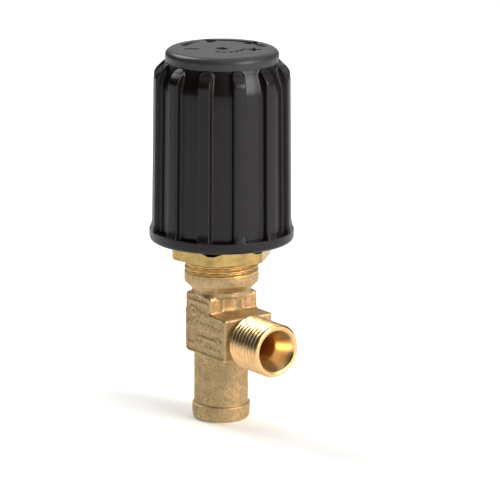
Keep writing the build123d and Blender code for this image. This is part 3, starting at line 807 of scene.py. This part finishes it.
def build_knob_shell():
    """Fluted outside, hollow inside with a hub boss and webs, and the ribs' ends beside the cap."""
    angles, from_rib = rib_columns()
    shoulder_z, slope_z = 100.5, 104.0  # the rings stand closer above each of them
    heights = [
        KNOB_BOTTOM + FOOT_ROUND * (1 - np.cos(np.linspace(0, math.pi / 2, 8))),
        evenly(KNOB_BOTTOM + 1.4, RING_TOP - 0.5, 0.35),
        evenly(RING_TOP - 0.4, RING_TOP + 0.9, 0.06),
        evenly(RING_TOP + 1.1, RING_TOP + 2.9, 0.3),
        evenly(RING_TOP + 4.5, shoulder_z, 3.6),
        evenly(shoulder_z + 0.7, slope_z - 0.2, 0.4),
        evenly(slope_z, SHELL_TOP, 0.11),
    ]
    z = np.concatenate(heights)
    foot_r, wall_r, web_z, web_foot = 17.4, 16.9, 86.0, 79.0
    boss_r, boss_z, boss_hole = 10.5, 76.0, 6.2
    recess_r, hub_r = 12.5, 8.0
    hub_foot, hub_top = hub_low[2], hub_high[2]
    inner = [
        (recess_r, CAP_BOTTOM),
        (recess_r, hub_top),
        (hub_r, hub_top),
        (hub_r, hub_foot),
        (boss_hole, hub_foot),
        (boss_hole, boss_z + 0.3),
        (boss_hole + 0.3, boss_z),
        (boss_r - 0.5, boss_z),
        (boss_r, boss_z + 0.5),
        (boss_r + 0.2, web_z - 0.6),
        (boss_r + 0.9, web_z),
        (wall_r - 1.4, web_z),
        (wall_r - 0.6, web_z - 0.8),
        (wall_r, KNOB_BOTTOM + 4),
        (foot_r, KNOB_BOTTOM + 0.5),
        (foot_r + 0.4, KNOB_BOTTOM),
    ]
    # the top rim lies under the cap, so this shell closes at the cap's foot
    outer_z = column(np.append(z[z <= CAP_BOTTOM + 1e-6], CAP_BOTTOM))
    shape = Shape()
    shape.add(*turned_shell(angles, (knob_outside(outer_z, from_rib), outer_z), inner))
    # the ribs' sloping ends reach up beside the cap
    tips_foot = CAP_BOTTOM - 0.3
    tips_z = column(np.append(tips_foot, z[z > CAP_BOTTOM]))
    tips = np.maximum(knob_outside(tips_z, from_rib), CAP_R - 0.2)
    core = [(CAP_R - 0.25, SHELL_TOP), (CAP_R - 0.25, tips_foot)]
    shape.add(*turned_shell(angles, (tips, tips_z), core))
    for web in range(6):
        angle = RIB_TURN + web * math.pi / 3
        shape.add(*web_box(angle, boss_r - 0.6, wall_r + 0.3, web_foot, web_z + 0.3))
    knob = shape.make("fluted_knob_shell", [NYLON], sharp_deg=50)
    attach(knob, "spindle")
    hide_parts("knob_shell")


def web_box(angle, near, far, bottom, top):
    """A radial web under the knob's roof, with chamfered lower edges."""
    half, bevel = 1.0, 0.35
    outline = [
        (-half, top),
        (-half, bottom + bevel),
        (-half + bevel, bottom),
        (half - bevel, bottom),
        (half, bottom + bevel),
        (half, top),
    ]
    points = []
    for distance in (near, far):
        for side, height in outline:
            points.append(
                (
                    distance * math.cos(angle) - side * math.sin(angle),
                    distance * math.sin(angle) + side * math.cos(angle),
                    height,
                )
            )
    n = len(outline)
    sides = [(i, (i + 1) % n, n + (i + 1) % n, n + i) for i in range(n)]
    ends = [(0, 3, 2, 1), (0, 5, 4, 3), (6, 7, 8, 9), (6, 9, 10, 11)]
    return np.array(points), np.array(sides + ends)


def cap_marks(x, y):
    """Generic sunk turning marks: two curved arrows and two dashes near the rim, plus, minus and dots."""
    r, angle = np.hypot(x, y), np.arctan2(y, x)
    track, head_half, head_wide = 12.2, 1.9, 1.3
    mark = np.full(x.shape, 9.0)
    for middle_deg, reach_deg, stroke in ((130, 27, 1.8), (68, 27, 1.5)):
        middle, reach = math.radians(middle_deg), math.radians(reach_deg)
        off = (angle - middle + math.pi) % (2 * math.pi) - math.pi
        beyond = np.maximum(np.abs(off) - reach, 0) * track
        mark = np.minimum(mark, np.hypot(r - track, beyond) - stroke / 2)
        tip_angle, back = middle - (reach + 0.08), middle - (reach - 0.14)
        tip = np.array([math.cos(tip_angle), math.sin(tip_angle)]) * track
        for lean in (-1, 1):
            tail = np.array([math.cos(back), math.sin(back)]) * (track + lean * head_half)
            mark = np.minimum(mark, stroke_distance(x, y, tip, tail, head_wide))
    # two dashes on the arrows' track, and six dots on a smaller circle
    dash_half, circle_r, circle_x, dot_r = 0.7, 5.6, 0.6, 0.72
    for angle_deg in (27, 17):
        dash = math.radians(angle_deg)
        at_x, at_y = track * math.cos(dash), track * math.sin(dash)
        start, end = (at_x - dash_half, at_y), (at_x + dash_half, at_y)
        mark = np.minimum(mark, stroke_distance(x, y, start, end, head_wide))
    for n in range(6):
        dot = math.radians(-112 + 20 * n)
        at_x, at_y = circle_x + circle_r * math.cos(dot), circle_r * math.sin(dot)
        mark = np.minimum(mark, np.hypot(x - at_x, y - at_y) - dot_r)
    # plus and minus
    plus_x, plus_y, minus_x, minus_y, arm, arm_wide = 9.1, -1.4, -8.9, -1.0, 1.7, 1.15
    for start, end in (
        ((plus_x - arm, plus_y), (plus_x + arm, plus_y)),
        ((plus_x, plus_y - arm), (plus_x, plus_y + arm)),
        ((minus_x - arm, minus_y), (minus_x + arm, minus_y)),
    ):
        mark = np.minimum(mark, stroke_distance(x, y, start, end, arm_wide))
    return mark


def build_knob_cap():
    """Round cap with a rolled edge, sunk marks, a blind hole in the middle and a spigot below."""
    angles = np.linspace(0, 2 * math.pi, 420, endpoint=False)
    edge_wide, edge_high, mark_depth, marks_turn = 2.1, 1.8, 0.8, math.radians(54)
    hole_r, hole_z = 1.75, KNOB_TOP - 2.2
    spigot_r, spigot_bore_r, spigot_z, roof_z = 12.47, 10.5, CAP_BOTTOM - 4.0, CAP_BOTTOM + 1.5
    middle_r = 0.4  # closed by a plug of its own
    flat_r = column(evenly(hole_r + 0.25, CAP_R - edge_wide, 0.13))
    x, y = flat_r * np.cos(angles - marks_turn), flat_r * np.sin(angles - marks_turn)
    flat_z = KNOB_TOP - mark_depth * (1 - smooth_step(cap_marks(x, y), -0.12, 0.12))
    bend = column(np.linspace(math.pi / 2, 0, 14))
    edge_r = CAP_R - edge_wide + edge_wide * np.cos(bend)
    edge_z = KNOB_TOP - edge_high + edge_high * np.sin(bend)
    under = [
        (CAP_R - 0.02, KNOB_TOP - edge_high - 0.5),
        (CAP_R - 0.08, KNOB_TOP - edge_high - 1.0),
        (CAP_R - 0.14, CAP_BOTTOM + 0.6),
        (CAP_R - 0.15, CAP_BOTTOM + 0.1),
        (CAP_R - 0.19, CAP_BOTTOM),
        (spigot_r, CAP_BOTTOM),
        (spigot_r, spigot_z),
        (spigot_bore_r, spigot_z),
        (spigot_bore_r, roof_z),
        (middle_r, roof_z),
        (middle_r, hole_z),
        (hole_r, hole_z),
        (hole_r, KNOB_TOP - 0.2),
    ]
    points, faces = turned_shell(angles, (flat_r, flat_z), (edge_r, edge_z), under)
    shape = Shape()
    shape.add(points, faces[:, ::-1])
    plug_r, centre_r = middle_r + 0.05, 0.001
    plug = [(centre_r, hole_z), (plug_r, hole_z), (plug_r, roof_z), (centre_r, roof_z)]
    shape.add(*turned_shell(angles[::20], plug))
    # The cap's nylon is lighter than the shell's: painted light on its top.
    cap = shape.make("knob_top_cap", [CAP_NYLON_PAINTED_LIGHT], sharp_deg=40)
    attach(cap, "spindle")
    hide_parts("knob_cap")


build_body()
build_nut()
build_knob_shell()
build_knob_cap()


# ------------------------------------------------------------------ floor, light and camera
def build_floor():
    """A wide plain white floor that glows a little, so that it stays paper white."""
    mesh = bpy.data.meshes.new("floor")
    half = 4.0
    corners = [(-half, -half, 0), (half, -half, 0), (half, half, 0), (-half, half, 0)]
    mesh.from_pydata(corners, [], [(0, 1, 2, 3)])
    material, tree, shader = new_material("white_floor")
    place = millimetres(tree)
    tone = remap(tree, noise(tree, place, 0.02, 2.0), 0.3, 0.7, 0, 1)
    tree.links.new(
        blend_colour(tree, tone, (0.90, 0.90, 0.90, 1), (0.92, 0.92, 0.92, 1)),
        shader.inputs["Base Color"],
    )
    shader.inputs["Roughness"].default_value = 0.85
    shader.inputs["Emission Color"].default_value = (1, 1, 1, 1)
    shader.inputs["Emission Strength"].default_value = 0.175
    mesh.materials.append(material)
    floor = bpy.data.objects.new("floor", mesh)
    bpy.context.scene.collection.objects.link(floor)


def direction(azimuth, elevation):
    """Unit vector to where the camera stands at an azimuth and elevation in degrees."""
    a, e = math.radians(azimuth), math.radians(elevation)
    return Vector((math.sin(a) * math.cos(e), -math.cos(a) * math.cos(e), math.sin(e)))


VIEW_AZIMUTH = 54.0
VIEW_ELEVATION = 14.05
LIGHT_AIM = Vector((0, 0, 60 * MM))


def area_light(name, azimuth, elevation, distance, size, power):
    """A rectangular light that faces the valve; its azimuth counts from the camera's."""
    light = bpy.data.lights.new(name, "AREA")
    light.shape = "RECTANGLE"
    light.size, light.size_y = size
    light.energy = power
    thing = bpy.data.objects.new(name, light)
    way = direction(VIEW_AZIMUTH + azimuth, elevation)
    thing.location = LIGHT_AIM + way * distance
    thing.rotation_euler = way.to_track_quat("Z", "Y").to_euler()
    bpy.context.scene.collection.objects.link(thing)


# azimuth from the camera's and elevation in degrees, and strength
STUDIO_LOBES = (
    (52, 8, 1.20),
    (180, 8, 0.55),
    (22, 35, 0.22),
    (67, 35, 1.10),
    (157, 35, 0.55),
    (202, 35, 0.20),
    (0, 62, 0.12),
    (90, 62, 0.85),
    (180, 62, 0.40),
    (270, 62, 0.06),
    (0, 90, 0.30),
)
LOBE_SHARPNESS = 14


def build_world():
    """A white studio: broad soft patches of light, each brightest at its own azimuth and elevation."""
    world = bpy.data.worlds.new("studio")
    bpy.context.scene.world = world
    world.use_nodes = True
    tree = world.node_tree
    place = add_node(tree, "ShaderNodeTexCoord").outputs["Generated"]
    place = add_node(tree, "ShaderNodeVectorMath", {0: place}, operation="NORMALIZE").outputs[0]
    total = None
    for azimuth, elevation, strength in STUDIO_LOBES:
        way = tuple(direction(VIEW_AZIMUTH + azimuth, elevation))
        facing = add_node(
            tree, "ShaderNodeVectorMath", {0: place, 1: way}, operation="DOT_PRODUCT"
        ).outputs["Value"]
        power = calculate(tree, "MULTIPLY", calculate(tree, "SUBTRACT", facing, 1.0), LOBE_SHARPNESS)
        lobe = calculate(tree, "MULTIPLY", calculate(tree, "EXPONENT", power), strength)
        total = lobe if total is None else calculate(tree, "ADD", total, lobe)
    background = tree.nodes["Background"]
    background.inputs["Color"].default_value = (1, 1, 1, 1)
    tree.links.new(total, background.inputs["Strength"])


def build_camera():
    """A long lens, as the photograph's, with the valve standing a little left of the middle."""
    picture_wide, lens_reach = 147.929 * MM, 8.0  # width seen at the valve; distance in such widths
    distance = picture_wide * lens_reach
    aim = Vector((0, 0, 51.07 * MM))
    left_of_middle, roll = 8.4024 * MM, math.radians(0.25)
    a = math.radians(VIEW_AZIMUTH)
    right = Vector((math.cos(a), math.sin(a), 0))
    place = aim + direction(VIEW_AZIMUTH, VIEW_ELEVATION) * distance
    camera_data = bpy.data.cameras.new("camera")
    camera_data.lens = lens_reach * camera_data.sensor_width
    camera_data.clip_end = 50
    camera = bpy.data.objects.new("camera", camera_data)
    bpy.context.scene.collection.objects.link(camera)
    camera.location = place
    look = (aim + right * left_of_middle) - place
    turn = look.to_track_quat("-Z", "Y") @ Quaternion((0, 0, 1), roll)
    camera.rotation_euler = turn.to_euler()
    bpy.context.scene.camera = camera


def set_tone():
    """Plain display colours with a paper white: the brightest quarter is lifted to full white."""
    settings = bpy.context.scene.view_settings
    settings.view_transform = "Standard"
    settings.use_curve_mapping = True
    tone = settings.curve_mapping
    tone.extend = "HORIZONTAL"
    curve = tone.curves[3]
    knee, white = 0.35, 0.75
    lift = (1 - white) / (white - knee) ** 2
    curve.points[1].location = (white, 1.0)
    for value in np.linspace(knee, white, 6)[:-1]:
        curve.points.new(float(value), float(value + lift * (value - knee) ** 2))
    tone.update()


build_floor()
build_world()
area_light("right_key", 52, 26, 0.9, (0.50, 0.50), 3.6)
area_light("back_left", 222, 48, 0.9, (0.40, 0.40), 2.9)
build_camera()
set_tone()
